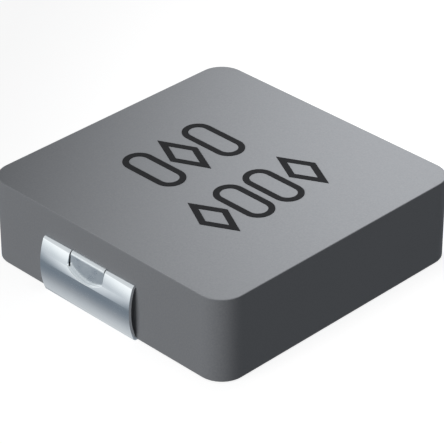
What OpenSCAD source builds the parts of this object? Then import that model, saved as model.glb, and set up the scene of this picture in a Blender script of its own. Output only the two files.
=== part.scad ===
// Moulded power inductor for surface mounting: a flat-wire coil pressed into an iron-powder
// block, with a bowed tinned terminal on two opposite sides.
// X runs from terminal to terminal, Z is up, and the solder pads stand on Z = 0.

/* [Body] */
// Side of the square moulded block
body_w = 12.6; // [12:0.1:14]
// Height of the moulded block
body_h = 3.55; // [3.35:0.05:5]
// Gap between the block's underside and the board
standoff = 0.04; // [0.03:0.01:0.1]
// Radius of the block's four upright corners
corner_r = 1.0; // [0.5:0.1:1.5]
// Radius on the block's top and bottom edges
edge_r = 0.04; // [0.03:0.01:0.1]

/* [Terminals] */
// Width of a terminal strip
strip_w = 4.84; // [4.4:0.02:6]
// Thickness of a terminal strip
strip_t = 0.15; // [0.12:0.01:0.16]
// Middle radius of the bow. With the two bends it sets the level at which the strip leaves
// the wall
bow_r = 3; // [2.85:0.05:3.15]
// Sideways shift of each terminal from the middle of its wall
strip_shift = 0.52; // [0:0.02:0.6]
// Distance from the wall to the bow's outer face
bow_out = 0.395; // [0.385:0.005:0.4]
// Lean of the strip at both ends of its bow, as the sine of its angle from upright
bow_slope = 0.352; // [0.28, 0.352]
// Inner radius of the bend at the top of the bow
top_bend_r = 0.05; // [0.04:0.01:0.06]
// Inner radius of the bend at the foot
foot_bend_r = 0.05; // [0.04:0.01:0.06]
// Length of the flat solder pad under the block
pad_l = 2.3; // [1.5:0.1:3]
// Length of the anchor prongs inside the block
prong_l = 0.9; // [0.5:0.1:1.2]
// Width of the notch that shows the lead's end
notch_w = 1.9; // [1.9:0.02:2.4]
// Depth of the notch at its middle
notch_depth = 0.93; // [0.9:0.01:1.1]
// Height of the notch's round floor
notch_round = 0.33; // [0.2:0.01:0.5]

/* [Winding] */
// Width of the flat wire
wire_w = 1.8; // [1.5:0.1:1.8]
// Thickness of the flat wire
wire_t = 0.22; // [0.18:0.01:0.24]
// Radius of the coil at the middle of the wire
coil_r = 3.4; // [3.1:0.1:3.5]
// Whole turns of the coil, besides the part turn between its leads
whole_turns = 4; // [2:1:6]
// Gap between one turn and the next, for the enamel
turn_gap = 0.04; // [0.02:0.01:0.06]
// Radius of the bend that takes a lead out of the coil
lead_bend_r = 1.4; // [1.2:0.1:1.5]
// Thickness of a lead's end, which is pressed flat outside the wall
tongue_t = 0.14; // [0.12:0.01:0.14]
// Inner radius of the bend at the top of that flat end
tongue_bend_r = 0.03; // [0.02:0.01:0.03]
// Height of the flat end's tip
tongue_tip_z = 1.05; // [0.9:0.05:1.15]

/* [Marking] */
// Width of the printed strokes
ink_w = 0.26; // [0.2:0.01:0.32]
// Thickness of the ink
ink_t = 0.02; // [0.01:0.005:0.03]
// Height of the shapes in the back row
back_row_h = 2.95; // [2.2:0.05:3.2]
// Height of the shapes in the front row
front_row_h = 2.75; // [2.2:0.05:3]
// Width of a printed ring
ring_w = 1.3; // [1:0.05:1.4]
// Width of a printed lozenge
lozenge_w = 1.44; // [1.2:0.02:1.5]
// Distance from one printed shape to the next
shape_pitch = 1.58; // [1.5:0.02:1.9]
// Gap between the two rows
row_gap = 1.15; // [0.8:0.05:1.6]

/* [Hidden] */
$fn = 96;

powder_gray = [0.43, 0.44, 0.45];
tin = [0.78, 0.82, 0.85];
enamelled_copper = [0.72, 0.38, 0.18];
ink_black = [0.09, 0.09, 0.1];

// Extra reach of a cutting tool past the face that it opens
past = 0.5;

wall_x = body_w / 2;
top_z = standoff + body_h;

// Each terminal strip: middle radii of its two tight bends, and the bow that joins them
top_r = top_bend_r + strip_t / 2;
foot_r = foot_bend_r + strip_t / 2;
bow_lean = asin(bow_slope);
bend_turn = 90 - bow_lean;
exit_z = strip_t + (top_r + foot_r) * (1 - bow_slope) + 2 * bow_r * bow_slope;
bow_rise = bow_r * (1 - cos(bow_lean));
crown_x = wall_x + bow_out - strip_t / 2;
top_bend_x = crown_x - bow_rise - top_r * sin(bend_turn);
foot_bend_x = crown_x - bow_rise - foot_r * sin(bend_turn);
prong_tip_x = wall_x - prong_l;
pad_tip_x = wall_x - pad_l;
prong_w = (strip_w - notch_w) / 2;

// Winding: its levels, and the stretch over which a lead climbs or drops to its slot
pitch = wire_t + turn_gap;
slot_l = 0.4;
slot_x = wall_x - slot_l;
lead_z = exit_z - wire_t / 2;
// The flat end leans outwards by this sine, so that its tip bites into the back of the bow,
// where the two are welded
tongue_slope = 0.07584;
tongue_turn = 90 - asin(tongue_slope);
tongue_r = tongue_bend_r + tongue_t / 2;
tongue_drop = exit_z - tongue_t / 2 - tongue_r * (1 - tongue_slope) - tongue_tip_z;
in_turn = lead_turn(strip_shift);
out_turn = lead_turn(-strip_shift);
coil_turn = 360 * whole_turns + in_turn + out_turn;
coil_drop = pitch * coil_turn / 360;
upper_z = standoff + (body_h + coil_drop) / 2;
lower_z = upper_z - coil_drop;
// Room for the enamel between the wire and the powder
coil_fit = 0.02;
// How far the space for a climbing lead reaches back over its bend
climb_back = 0.1;
turn_steps = 60;
bend_steps = 12;
ramp_steps = 14;

back_row = ["ring", "lozenge", "ring"];
front_row = ["lozenge", "ring", "ring", "lozenge"];

// ---- Bent strip ----
// A strip that runs along +X on the line Z = 0 and turns downwards at each bend. A run is
// [straight length, middle radius of the bend after it, angle of that bend].

module bent_strip(runs, thick, wide) {
    rotate([90, 0, 0]) linear_extrude(wide, center = true) strip_profile(runs, thick, 0);
}

module strip_profile(runs, thick, i) {
    straight = runs[i][0];
    r = runs[i][1];
    turn = runs[i][2];
    if (straight > 0)
        translate([0, -thick / 2]) square([straight, thick]);
    if (turn > 0)
        translate([straight, -r]) bend_profile(r, turn, thick);
    if (i + 1 < len(runs))
        translate([straight + r * sin(turn), -r * (1 - cos(turn))]) rotate(-turn)
            strip_profile(runs, thick, i + 1);
}

// The stretch of a ring that a bend takes up, clockwise from the top
module bend_profile(r, turn, thick) {
    reach = 2 * ceil(r + thick);
    intersection() {
        difference() {
            circle(r = r + thick / 2);
            circle(r = r - thick / 2);
        }
        polygon([[0, 0], [0, reach], [reach * sin(turn), reach * cos(turn)]]);
    }
}

// ---- Moulded block ----

module rounded_section(w) {
    for (side = [-1, 1], z = [standoff + edge_r, top_z - edge_r])
        translate([side * (w / 2 - edge_r), z]) circle(r = edge_r);
    translate([-w / 2 + edge_r, standoff]) square([w - 2 * edge_r, body_h]);
    translate([-w / 2, standoff + edge_r]) square([w, body_h - 2 * edge_r]);
}

module block_slab() {
    rotate([90, 0, 0]) linear_extrude(body_w - 2 * corner_r, center = true)
        rounded_section(body_w);
}

module block_corner() {
    rotate_extrude() intersection() {
        rounded_section(2 * corner_r);
        square([corner_r, top_z + past]);
    }
}

module solid_block() {
    block_slab();
    rotate([0, 0, 90]) block_slab();
    for (x = [-1, 1], y = [-1, 1])
        translate([x * (wall_x - corner_r), y * (wall_x - corner_r), 0]) block_corner();
}

module coil_space() {
    outer = coil_r + wire_w / 2 + coil_fit;
    inner = coil_r - wire_w / 2 - coil_fit;
    translate([0, 0, lower_z - wire_t / 2]) difference() {
        cylinder(r = outer, h = coil_drop + wire_t);
        translate([0, 0, -past]) cylinder(r = inner, h = coil_drop + wire_t + 2 * past);
    }
}

// Space around a lead that leaves the coil at the given level and passes the +X wall at the
// given sideways shift. It is loose around the bend, looser around the climb, and tight at
// the wall, so that each cut opens well into the next.
module lead_space(level, shift) {
    turn = lead_turn(shift);
    bend_x = (coil_r + lead_bend_r) * sin(turn);
    bend_w = wire_w + 4 * coil_fit;
    bend_h = wire_t + 4 * coil_fit;
    climb_w = wire_w + 6 * coil_fit;
    climb_h = abs(level - lead_z) + wire_t + 6 * coil_fit;
    translate([bend_x, shift + lead_bend_r, level - bend_h / 2])
        rotate([0, 0, 270 - turn]) rotate_extrude(angle = turn)
            translate([lead_bend_r - bend_w / 2, 0]) square([bend_w, bend_h]);
    translate([bend_x - climb_back, shift - climb_w / 2, (level + lead_z - climb_h) / 2])
        cube([slot_x - bend_x + climb_back, climb_w, climb_h]);
    translate([slot_x - slot_l / 2, shift - wire_w / 2, lead_z - wire_t / 2])
        cube([slot_l * 3 / 2 + past, wire_w, wire_t]);
}

// Slots for the two prongs and the shallow seat of the pad, at the +X wall
module terminal_space() {
    for (side = [-1, 1])
        translate([prong_tip_x, -strip_shift + side * (strip_w - prong_w) / 2 - prong_w / 2,
                exit_z - strip_t])
            cube([prong_l + past, prong_w, strip_t]);
    translate([pad_tip_x, -strip_shift - strip_w / 2, standoff - past])
        cube([pad_l + past, strip_w, strip_t - standoff + past]);
}

module core_body() {
    color(powder_gray) difference() {
        solid_block();
        coil_space();
        lead_space(lower_z, -strip_shift);
        mirror([1, 0, 0]) lead_space(upper_z, strip_shift);
        terminal_space();
        rotate([0, 0, 180]) terminal_space();
    }
}

// ---- Winding ----
// The wire is swept through stations [x, y, z, heading, dip]. It enters at the -X wall, winds
// clockwise from the upper level to the lower one, and leaves at the +X wall.

// Angle of the bend that brings a lead from the coil's circle to the given sideways shift
function lead_turn(shift) = acos((shift + lead_bend_r) / (coil_r + lead_bend_r));

function smooth(t) = t * t * (3 - 2 * t);

// Stations of a lead from the coil's circle to its slot in the +X wall
function lead_stations(level, shift) =
    let (turn = lead_turn(shift),
         reach = coil_r + lead_bend_r,
         x0 = reach * sin(turn),
         run = slot_x - x0,
         climb = lead_z - level)
    concat(
        [for (i = [1:bend_steps]) let (left = turn * (1 - i / bend_steps))
            [x0 - lead_bend_r * sin(left), reach * cos(turn) - lead_bend_r * cos(left),
             level, -left, 0]],
        [for (i = [1:ramp_steps]) let (t = i / ramp_steps)
            [x0 + run * t, shift, level + climb * smooth(t), 0,
             -atan(climb * 6 * t * (1 - t) / run)]]);

function coil_stations() =
    let (steps = ceil(turn_steps * coil_turn / 360),
         dip = atan(coil_drop / (2 * PI * coil_r * coil_turn / 360)))
    [for (i = [0:steps]) let (angle = 90 + in_turn - coil_turn * i / steps)
        [coil_r * cos(angle), coil_r * sin(angle), upper_z - coil_drop * i / steps,
         angle - 90, dip]];

// The wire's four corners at a station
function wire_ring(s) =
    let (across = [-sin(s[3]), cos(s[3]), 0] * wire_w / 2,
         up = [sin(s[4]) * cos(s[3]), sin(s[4]) * sin(s[3]), cos(s[4])] * wire_t / 2,
         middle = [s[0], s[1], s[2]])
    [middle + across + up, middle - across + up, middle - across - up, middle + across - up];

function mirror_x(ring) = [for (p = ring) [-p[0], p[1], p[2]]];

module swept_wire(rings) {
    last = len(rings) - 1;
    sides = [for (i = [0:last - 1], j = [0:3])
        let (a = 4 * i + j, b = 4 * i + (j + 1) % 4) each [[a, a + 4, b + 4], [a, b + 4, b]]];
    ends = [[0, 1, 2], [0, 2, 3],
        [4 * last, 4 * last + 2, 4 * last + 1], [4 * last, 4 * last + 3, 4 * last + 2]];
    polyhedron(points = [for (ring = rings) each ring], faces = concat(sides, ends));
}

// The lead through its slot, with the tongue that is pressed flat and bent down outside the wall
module lead_end(shift) {
    translate([slot_x, shift - wire_w / 2, lead_z - wire_t / 2]) cube([slot_l, wire_w, wire_t]);
    translate([0, shift, 0]) tongue();
}

module tongue() {
    translate([slot_x + slot_l / 2, 0, exit_z - tongue_t / 2])
        bent_strip([[slot_l / 2, tongue_r, tongue_turn], [tongue_drop, 0, 0]], tongue_t, wire_w);
}

module winding() {
    lead_in = [for (s = lead_stations(upper_z, strip_shift)) mirror_x(wire_ring(s))];
    color(enamelled_copper) swept_wire(concat(
        [for (i = [len(lead_in) - 1:-1:0]) lead_in[i]],
        [for (s = coil_stations()) wire_ring(s)],
        [for (s = lead_stations(lower_z, -strip_shift)) wire_ring(s)]));
    color(tin) {
        lead_end(-strip_shift);
        mirror([1, 0, 0]) lead_end(strip_shift);
    }
}

// ---- Terminals ----

// A slot with a round floor; the circle reaches above the strip, so it only shapes the floor
module notch() {
    floor_z = exit_z - notch_depth;
    floor_r = (pow(notch_w / 2, 2) + pow(notch_round, 2)) / (2 * notch_round);
    translate([prong_tip_x - past, 0, 0]) rotate([90, 0, 90])
        linear_extrude(prong_l + bow_out + 2 * past) intersection() {
            translate([0, floor_z + floor_r]) circle(r = floor_r);
            translate([-notch_w / 2, floor_z - past]) square([notch_w, notch_depth + 2 * past]);
        }
}

// The strip at the +X wall: prongs, ledge, top bend, bow, foot bend and pad
module terminal() {
    runs = [
        [top_bend_x - prong_tip_x, top_r, bend_turn],
        [0, bow_r, bow_lean],
        [0, bow_r, bow_lean],
        [0, foot_r, bend_turn],
        [foot_bend_x - pad_tip_x, 0, 0]
    ];
    color(tin) translate([0, -strip_shift, 0]) difference() {
        translate([prong_tip_x, 0, exit_z - strip_t / 2]) bent_strip(runs, strip_t, strip_w);
        notch();
        tongue();
    }
}

module terminal_left() { rotate([0, 0, 180]) terminal(); }

module terminal_right() { terminal(); }

// ---- Marking ----
// Two rows of plain rings and lozenges

module ring_outline(w, h) {
    for (side = [-1, 1]) translate([0, side * (h - w) / 2]) circle(d = w);
    square([w, h - w], center = true);
}

module lozenge_outline(w, h) {
    polygon([[w / 2, 0], [0, h / 2], [-w / 2, 0], [0, -h / 2]]);
}

module printed_ring(h) {
    difference() {
        ring_outline(ring_w, h);
        ring_outline(ring_w - 2 * ink_w, h - 2 * ink_w);
    }
}

module printed_lozenge(h) {
    inner = 1 - 2 * ink_w * norm([lozenge_w, h]) / (lozenge_w * h);
    difference() {
        lozenge_outline(lozenge_w, h);
        lozenge_outline(lozenge_w * inner, h * inner);
    }
}

module printed_row(shapes, h) {
    for (i = [0:len(shapes) - 1])
        translate([(i - (len(shapes) - 1) / 2) * shape_pitch, 0])
            if (shapes[i] == "ring") printed_ring(h);
            else printed_lozenge(h);
}

module top_marking() {
    color(ink_black) translate([0, 0, top_z]) linear_extrude(ink_t) {
        translate([0, (row_gap + back_row_h) / 2]) printed_row(back_row, back_row_h);
        translate([0, -(row_gap + front_row_h) / 2]) printed_row(front_row, front_row_h);
    }
}

core_body();
winding();
terminal_left();
terminal_right();
top_marking();
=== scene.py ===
"""Looks of the shielded SMD inductor: finishes, stamped terminals, wound wire, studio and camera.

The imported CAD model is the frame. Blender works in metres; the lengths named here are in
millimetres and are scaled by MM where they are used.
"""
import math

import bmesh
import bpy
from mathutils import Matrix, Vector


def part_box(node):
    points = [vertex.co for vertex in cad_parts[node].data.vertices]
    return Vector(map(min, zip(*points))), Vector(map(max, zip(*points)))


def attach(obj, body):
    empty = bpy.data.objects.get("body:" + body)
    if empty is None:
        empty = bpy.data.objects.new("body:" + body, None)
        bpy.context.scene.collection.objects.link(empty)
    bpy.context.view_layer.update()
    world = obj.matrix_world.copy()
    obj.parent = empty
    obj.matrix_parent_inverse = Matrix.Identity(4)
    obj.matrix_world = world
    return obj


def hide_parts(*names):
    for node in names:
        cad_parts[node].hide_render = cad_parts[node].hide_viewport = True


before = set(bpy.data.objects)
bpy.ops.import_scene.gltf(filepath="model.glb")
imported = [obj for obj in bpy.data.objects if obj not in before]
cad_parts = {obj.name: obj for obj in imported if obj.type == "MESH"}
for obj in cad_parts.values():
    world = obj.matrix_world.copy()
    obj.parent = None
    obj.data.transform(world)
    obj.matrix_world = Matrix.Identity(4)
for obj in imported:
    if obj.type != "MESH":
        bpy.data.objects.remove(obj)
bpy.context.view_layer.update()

MM = 0.001

BODY_LOW, BODY_HIGH = (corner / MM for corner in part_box("core_body"))
STRIP_LOW, STRIP_HIGH = (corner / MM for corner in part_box("terminal_right"))
WALL_X = BODY_HIGH.x


# ---- Terminal strip ----
# The same dimensions as in the CAD model. The rest comes from the terminal's box.

STRIP_T = 0.15
BOW_SLOPE = 0.352
TOP_BEND_R = 0.05
FOOT_BEND_R = 0.05
PRONG_L = 0.9
NOTCH_W = 1.9
NOTCH_DEPTH = 0.93
NOTCH_ROUND = 0.33
# Radius of the worn edges, and the finest steps of the mesh along its curves
STAMPED_EDGE = 0.018
EDGE_STEPS = 3
NOTCH_STEPS = 14
BEND_STEPS = 18
BEND_STEP_DEGREES = 3


class StripPath:
    """Middle line of the bent strip in the XZ plane, from the prongs' tips to the pad's tip."""

    def __init__(self):
        top_r = TOP_BEND_R + STRIP_T / 2
        foot_r = FOOT_BEND_R + STRIP_T / 2
        lean = math.asin(BOW_SLOPE)
        turn = math.pi / 2 - lean
        exit_z = STRIP_HIGH.z
        drop = exit_z - STRIP_T - (top_r + foot_r) * (1 - BOW_SLOPE)
        self.bow_r = drop / (2 * BOW_SLOPE)
        rise = self.bow_r * (1 - math.cos(lean))
        crown_x = STRIP_HIGH.x - STRIP_T / 2
        top_x = crown_x - rise - top_r * math.sin(turn)
        foot_x = crown_x - rise - foot_r * math.sin(turn)
        prong_x = WALL_X - PRONG_L
        self.start = Vector((prong_x, 0, exit_z - STRIP_T / 2))
        self.top_run = top_x - prong_x
        self.lean = lean
        # Straight run, radius of the bend after it, and that bend's angle
        self.runs = [
            (self.top_run, top_r, turn),
            (0, self.bow_r, 2 * lean),
            (0, foot_r, turn),
            (foot_x - STRIP_LOW.x, 0, 0),
        ]
        self.bow_start = self.top_run + top_r * turn
        # Level at which the bow stands farthest out
        self.crown_z = self.start.z - top_r * (1 - math.cos(turn)) - self.bow_r * BOW_SLOPE
        self.length = sum(straight + r * angle for straight, r, angle in self.runs)

    def stations(self):
        """Distances along the strip at which its mesh is divided."""
        places = []
        travelled = 0.0
        for straight, r, angle in self.runs:
            if straight:
                places.append(travelled)
                travelled += straight
            if angle:
                steps = max(BEND_STEPS, math.ceil(math.degrees(angle) / BEND_STEP_DEGREES))
                places += [travelled + r * angle * i / steps for i in range(steps + 1)]
                travelled += r * angle
        return places[1:]

    def at(self, distance):
        """Point and outward normal at a distance along the strip."""
        place = self.start.copy()
        heading = 0.0
        left = distance
        for straight, r, angle in self.runs:
            along = Vector((math.cos(heading), 0, -math.sin(heading)))
            outward = Vector((math.sin(heading), 0, math.cos(heading)))
            if left <= straight or not angle:
                return place + along * left, outward
            place += along * straight
            left -= straight
            turned = min(left / r, angle)
            place += along * r * math.sin(turned) - outward * r * (1 - math.cos(turned))
            heading += turned
            left -= turned * r
            if turned < angle:
                break
        return place, Vector((math.sin(heading), 0, math.cos(heading)))

    def from_height(self, z):
        """Distance along the strip at which its bow passes a height."""
        rise = math.asin((z - self.crown_z) / self.bow_r)
        return self.bow_start + self.bow_r * (self.lean - rise)


def notch_outline(path):
    """Half of the notch's edge as (distance along the strip, distance from its middle line)."""
    floor_z = STRIP_HIGH.z - NOTCH_DEPTH
    half = NOTCH_W / 2
    floor_r = (half**2 + NOTCH_ROUND**2) / (2 * NOTCH_ROUND)
    spread = math.asin(half / floor_r)
    outline = [(0.0, half)]
    for i in range(NOTCH_STEPS + 1):
        angle = spread * (1 - i / NOTCH_STEPS)
        z = floor_z + floor_r * (1 - math.cos(angle))
        outline.append((path.from_height(z), floor_r * math.sin(angle)))
    return outline


def terminal_mesh(name, side):
    """The stamped blank is cut flat, given its thickness and worn edges, and then bent."""
    path = StripPath()
    half_w = (STRIP_HIGH.y - STRIP_LOW.y) / 2
    notch = notch_outline(path)
    outline = [(0.0, half_w), (path.length, half_w), (path.length, -half_w), (0.0, -half_w)]
    outline += [(u, -v) for u, v in notch]
    outline += [(u, v) for u, v in reversed(notch[:-1])]
    cuts = sorted(set(path.stations() + [u for u, v in notch[1:]]))

    blank = bmesh.new()
    blank.faces.new([blank.verts.new((u, v, STRIP_T / 2)) for u, v in outline])
    for cut in cuts:
        everything = blank.verts[:] + blank.edges[:] + blank.faces[:]
        bmesh.ops.bisect_plane(
            blank, geom=everything, dist=1e-5, plane_co=(cut, 0, 0), plane_no=(1, 0, 0)
        )
    made = bmesh.ops.extrude_face_region(blank, geom=blank.faces[:], use_keep_orig=True)
    back = [item for item in made["geom"] if isinstance(item, bmesh.types.BMVert)]
    bmesh.ops.translate(blank, verts=back, vec=(0, 0, -STRIP_T))
    bmesh.ops.recalc_face_normals(blank, faces=blank.faces)
    # The edges between the strip's broad faces and its cut ones
    rim = [
        edge
        for edge in blank.edges
        if len(edge.link_faces) == 2
        and edge.calc_face_angle() > math.radians(60)
        and abs(edge.verts[0].co.z - edge.verts[1].co.z) < STRIP_T / 2
    ]
    bmesh.ops.bevel(
        blank,
        geom=rim,
        offset=STAMPED_EDGE,
        segments=EDGE_STEPS,
        profile=0.5,
        affect="EDGES",
        clamp_overlap=True,
    )
    middle = -(STRIP_HIGH.y + STRIP_LOW.y) / 2
    for vert in blank.verts:
        place, outward = path.at(vert.co.x)
        bent = place + outward * vert.co.z
        bent.y = vert.co.y - middle
        vert.co = Vector((bent.x * side, bent.y * side, bent.z)) * MM
    for face in blank.faces:
        face.smooth = True
    mesh = bpy.data.meshes.new(name)
    blank.to_mesh(mesh)
    blank.free()
    return mesh


def add_piece(name, mesh, material, replaced):
    piece = bpy.data.objects.new(name, mesh)
    bpy.context.scene.collection.objects.link(piece)
    mesh.materials.append(material)
    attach(piece, "root")
    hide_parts(replaced)
    return piece


def soften_shading(piece):
    """Keeps the broad faces even up to their worn edges."""
    weighted = piece.modifiers.new("weighted_normals", "WEIGHTED_NORMAL")
    weighted.keep_sharp = True
    weighted.weight = 100


# ---- Materials ----
# Colours are linear

# Depth inside the wall at which the wire's tin starts, and what the tin adds to its roughness
TINNING_START = 0.02
TINNED_ROUGHNESS = 0.1


class Material:
    """A Principled material and short ways to wire its nodes."""

    def __init__(self, name, **values):
        self.material = bpy.data.materials.new(name)
        self.material.use_nodes = True
        self.nodes = self.material.node_tree.nodes
        self.links = self.material.node_tree.links
        self.shader = self.nodes["Principled BSDF"]
        for socket, value in values.items():
            self.shader.inputs[socket.replace("_", " ")].default_value = value
        self.place = self.nodes.new("ShaderNodeTexCoord").outputs["Object"]

    def noise(self, size, detail):
        """Noise whose grain measures about the given size in millimetres."""
        node = self.nodes.new("ShaderNodeTexNoise")
        node.inputs["Scale"].default_value = 1 / (size * MM)
        node.inputs["Detail"].default_value = detail
        node.inputs["Roughness"].default_value = 0.5
        self.links.new(self.place, node.inputs["Vector"])
        return node.outputs["Fac"]

    def spread(self, value, low, high, start=0.3, end=0.7):
        """Maps the middle of a noise onto a range of values."""
        node = self.nodes.new("ShaderNodeMapRange")
        node.inputs["From Min"].default_value = start
        node.inputs["From Max"].default_value = end
        node.inputs["To Min"].default_value = low
        node.inputs["To Max"].default_value = high
        self.links.new(value, node.inputs["Value"])
        return node.outputs["Result"]

    def mix(self, factor, colour_a, colour_b):
        node = self.nodes.new("ShaderNodeMix")
        node.data_type = "RGBA"
        self.links.new(factor, node.inputs["Factor"])
        for socket, colour in (("A", colour_a), ("B", colour_b)):
            target = [s for s in node.inputs if s.name == socket and s.type == "RGBA"][0]
            if isinstance(colour, bpy.types.NodeSocket):
                self.links.new(colour, target)
            else:
                target.default_value = (*colour, 1)
        return [s for s in node.outputs if s.type == "RGBA"][0]

    def join(self, value, socket):
        self.links.new(value, self.shader.inputs[socket])

    def bump(self, height, depth):
        """Relief of the given depth in millimetres."""
        node = self.nodes.new("ShaderNodeBump")
        node.inputs["Strength"].default_value = 1.0
        node.inputs["Distance"].default_value = depth * MM
        self.links.new(height, node.inputs["Height"])
        self.join(node.outputs["Normal"], "Normal")


def powder_material():
    """Fine pressed grain under faint clouds."""
    made = Material("pressed_powder", Roughness=0.62, Specular_IOR_Level=0.25)
    grain = made.noise(0.07, detail=3)
    cloud = made.noise(1.6, detail=2)
    colour = made.mix(made.spread(grain, 0, 1), (0.262, 0.270, 0.284), (0.300, 0.308, 0.322))
    colour = made.mix(made.spread(cloud, 0, 0.25), colour, (0.292, 0.301, 0.316))
    made.join(colour, "Base Color")
    made.join(made.spread(grain, 0.56, 0.70), "Roughness")
    made.bump(made.noise(0.05, detail=3), 0.004)
    return made.material


def tin_material():
    """Bright plating with slight clouds in its gloss."""
    made = Material("tin_plating", Metallic=1.0, Roughness=0.1)
    cloud = made.noise(0.5, detail=3)
    colour = made.mix(made.spread(cloud, 0, 1), (0.90, 0.925, 0.94), (0.94, 0.955, 0.965))
    made.join(colour, "Base Color")
    made.join(made.spread(cloud, 0.07, 0.14), "Roughness")
    made.bump(made.noise(0.8, detail=1), 0.002)
    return made.material


def wire_material():
    """Copper-coloured enamel inside the block, tin on the flat ends outside its walls."""
    made = Material("flat_wire", Metallic=1.0, Roughness=0.2)
    split = made.nodes.new("ShaderNodeSeparateXYZ")
    made.links.new(made.place, split.inputs[0])
    reach = made.nodes.new("ShaderNodeMath")
    reach.operation = "ABSOLUTE"
    made.links.new(split.outputs["X"], reach.inputs[0])
    outside = made.spread(reach.outputs[0], 0, 1, (WALL_X - TINNING_START) * MM, WALL_X * MM)
    cloud = made.noise(0.4, detail=3)
    enamel = made.mix(made.spread(cloud, 0, 1), (0.42, 0.13, 0.04), (0.52, 0.17, 0.05))
    tinned = made.mix(made.spread(cloud, 0, 1), (0.88, 0.91, 0.93), (0.92, 0.94, 0.95))
    made.join(made.mix(outside, enamel, tinned), "Base Color")
    # Dipped tin is rougher than the enamel
    dip = made.nodes.new("ShaderNodeMath")
    dip.operation = "MULTIPLY_ADD"
    made.links.new(outside, dip.inputs[0])
    dip.inputs[1].default_value = TINNED_ROUGHNESS
    made.links.new(made.spread(cloud, 0.14, 0.24), dip.inputs[2])
    made.join(dip.outputs[0], "Roughness")
    made.bump(made.noise(0.3, detail=2), 0.002)
    return made.material


def ink_material():
    """Matte ink on the powder's grain."""
    made = Material("printing_ink", Roughness=0.7, Specular_IOR_Level=0.25)
    grain = made.noise(0.06, detail=3)
    colour = made.mix(made.spread(grain, 0, 1), (0.007, 0.007, 0.008), (0.014, 0.014, 0.015))
    made.join(colour, "Base Color")
    made.join(made.spread(grain, 0.6, 0.8), "Roughness")
    made.bump(grain, 0.003)
    return made.material


# ---- Studio ----

# Light that matte surfaces get from the whole room
AMBIENT = (0.124, 0.127, 0.134)
ROOM_WHITE = (1, 1, 1)
# Brightness of the room in a polished surface, by the elevation it is seen at in degrees
ROOM_BANDS = [
    (-90, (0.62, 0.65, 0.67)),
    (-53, (0.61, 0.64, 0.66)),
    (-48, (0.47, 0.50, 0.53)),
    (-42, (0.31, 0.335, 0.365)),
    (-37, (0.215, 0.245, 0.28)),
    (-32, (0.17, 0.203, 0.24)),
    (-27, (0.185, 0.217, 0.25)),
    (-22, (0.32, 0.36, 0.40)),
    (-17, (0.50, 0.54, 0.58)),
    (-11, (0.70, 0.745, 0.775)),
    (-6, (0.90, 0.945, 0.965)),
    (0, (1.03, 1.06, 1.07)),
    (8, (0.95, 0.98, 0.99)),
    (16, (0.67, 0.70, 0.72)),
    (90, (0.62, 0.65, 0.67)),
]


FLOOR_SIZE = 0.8
# Clearance under the pads, in millimetres
FLOOR_BELOW = 0.01
# The floor's own colour, and the glow that brings it near white for the camera alone
FLOOR_GRAY = 0.3
FLOOR_GLOW = 0.86

# Place, aim, size, brightness of the lamp's face, and turn in plan in degrees
LAMPS = {
    "key": ((-94, 10, 36), (0, 0, 2), (60, 60), 3.86, -84),
    "overhead": ((4.1, 1.7, 25.9), (30.2, -34.1, 3.5), (34.4, 10.9), 10.46, 48.1),
}

# Direction from the block's middle to the camera, in degrees, its distance, and its shift
# sideways and upwards
CAMERA_AZIMUTH = -45
CAMERA_ELEVATION = 32.2437
CAMERA_DISTANCE = 94.706
CAMERA_ACROSS = 0.0063
CAMERA_UPWARDS = -0.3092
FOCAL_LENGTH = 200.9
SENSOR_WIDTH = 36


def make_room():
    """One brightness for matte surfaces, bands for polished ones, and white for the camera."""
    world = bpy.data.worlds.new("room")
    bpy.context.scene.world = world
    world.use_nodes = True
    world.cycles.sampling_method = "NONE"
    nodes, links = world.node_tree.nodes, world.node_tree.links
    nodes.clear()
    rays = nodes.new("ShaderNodeLightPath")
    direction = nodes.new("ShaderNodeTexCoord")
    split = nodes.new("ShaderNodeSeparateXYZ")
    links.new(direction.outputs["Generated"], split.inputs[0])
    height = nodes.new("ShaderNodeMapRange")
    height.inputs["From Min"].default_value = -1
    links.new(split.outputs["Z"], height.inputs["Value"])
    bands = nodes.new("ShaderNodeValToRGB")
    links.new(height.outputs["Result"], bands.inputs["Fac"])
    ramp = bands.color_ramp
    for i, (elevation, colour) in enumerate(ROOM_BANDS):
        position = (math.sin(math.radians(elevation)) + 1) / 2
        stop = ramp.elements[i] if i < 2 else ramp.elements.new(position)
        stop.position = position
        stop.color = (*colour, 1)
    output = nodes.new("ShaderNodeOutputWorld")
    shown = None
    for ray, source in (
        (None, AMBIENT),
        ("Is Glossy Ray", bands.outputs["Color"]),
        ("Is Camera Ray", ROOM_WHITE),
    ):
        light = nodes.new("ShaderNodeBackground")
        if isinstance(source, tuple):
            light.inputs["Color"].default_value = (*source, 1)
        else:
            links.new(source, light.inputs["Color"])
        if ray is None:
            shown = light.outputs[0]
            continue
        choice = nodes.new("ShaderNodeMixShader")
        links.new(rays.outputs[ray], choice.inputs["Fac"])
        links.new(shown, choice.inputs[1])
        links.new(light.outputs[0], choice.inputs[2])
        shown = choice.outputs[0]
    links.new(shown, output.inputs["Surface"])


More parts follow.
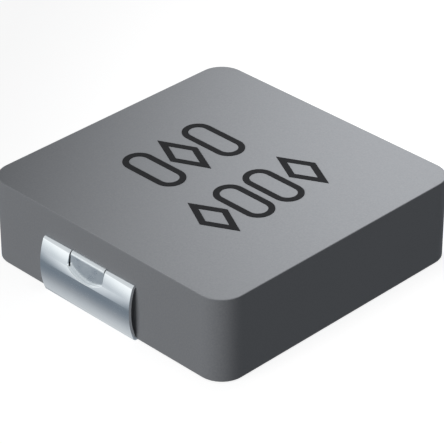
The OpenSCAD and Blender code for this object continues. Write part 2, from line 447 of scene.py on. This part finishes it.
def make_floor():
    """A pale floor that takes the part's shadow and throws no light on the part."""
    mesh = bpy.data.meshes.new("floor")
    build = bmesh.new()
    bmesh.ops.create_grid(build, x_segments=8, y_segments=8, size=FLOOR_SIZE / 2)
    build.to_mesh(mesh)
    build.free()
    floor = bpy.data.objects.new("floor", mesh)
    bpy.context.scene.collection.objects.link(floor)
    floor.location.z = -FLOOR_BELOW * MM
    floor.visible_glossy = False
    floor.visible_diffuse = False

    material = bpy.data.materials.new("pale_floor")
    material.use_nodes = True
    material.cycles.emission_sampling = "NONE"
    nodes, links = material.node_tree.nodes, material.node_tree.links
    nodes.clear()
    rays = nodes.new("ShaderNodeLightPath")
    matte = nodes.new("ShaderNodeBsdfDiffuse")
    matte.inputs["Color"].default_value = (FLOOR_GRAY, FLOOR_GRAY, FLOOR_GRAY, 1)
    glow = nodes.new("ShaderNodeEmission")
    glow.inputs["Strength"].default_value = FLOOR_GLOW
    both = nodes.new("ShaderNodeAddShader")
    links.new(matte.outputs[0], both.inputs[0])
    links.new(glow.outputs[0], both.inputs[1])
    choice = nodes.new("ShaderNodeMixShader")
    links.new(rays.outputs["Is Camera Ray"], choice.inputs["Fac"])
    links.new(matte.outputs[0], choice.inputs[1])
    links.new(both.outputs[0], choice.inputs[2])
    output = nodes.new("ShaderNodeOutputMaterial")
    links.new(choice.outputs[0], output.inputs["Surface"])
    mesh.materials.append(material)


def add_softbox(name, place, aim, size, brightness, turn):
    """A flat lamp; its brightness is that of its own face, and it is turned by an angle in plan."""
    lamp = bpy.data.lights.new(name, "AREA")
    lamp.shape = "RECTANGLE"
    lamp.size, lamp.size_y = (side * MM for side in size)
    lamp.energy = brightness * math.pi * lamp.size * lamp.size_y
    softbox = bpy.data.objects.new(name, lamp)
    bpy.context.scene.collection.objects.link(softbox)
    back = (Vector(place) - Vector(aim)).normalized()
    along = Vector((math.cos(math.radians(turn)), math.sin(math.radians(turn)), 0))
    along = (along - back * along.dot(back)).normalized()
    softbox.matrix_world = (
        Matrix.Translation(Vector(place) * MM)
        @ Matrix((along, back.cross(along), back)).transposed().to_4x4()
    )
    softbox.visible_glossy = False


def make_camera():
    """The block's middle is near the middle of the frame."""
    azimuth, elevation = math.radians(CAMERA_AZIMUTH), math.radians(CAMERA_ELEVATION)
    lens = bpy.data.cameras.new("camera")
    lens.lens = FOCAL_LENGTH
    lens.sensor_width = SENSOR_WIDTH
    lens.clip_start, lens.clip_end = 0.001, 5
    camera = bpy.data.objects.new("camera", lens)
    bpy.context.scene.collection.objects.link(camera)
    back = Vector(
        (
            math.sin(azimuth) * math.cos(elevation),
            -math.cos(azimuth) * math.cos(elevation),
            math.sin(elevation),
        )
    )
    right = Vector((math.cos(azimuth), math.sin(azimuth), 0))
    middle = (BODY_LOW + BODY_HIGH) / 2
    up = back.cross(right)
    place = middle + back * CAMERA_DISTANCE + right * CAMERA_ACROSS + up * CAMERA_UPWARDS
    camera.location = place * MM
    camera.rotation_mode = "QUATERNION"
    camera.rotation_quaternion = (-back).to_track_quat("-Z", "Y")
    bpy.context.scene.camera = camera


# ---- Scene ----

tin = tin_material()
for node, material in (
    ("core_body", powder_material()),
    ("winding", wire_material()),
    ("top_marking", ink_material()),
):
    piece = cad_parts[node]
    for place in piece.material_slots:
        place.material = material

for side, replaced in ((1, "terminal_right"), (-1, "terminal_left")):
    name = replaced + "_strip"
    strip = add_piece(name, terminal_mesh(name, side), tin, replaced)
    soften_shading(strip)

make_room()
make_floor()
for name, values in LAMPS.items():
    add_softbox(name, *values)
make_camera()
bpy.context.scene.view_settings.view_transform = "Standard"
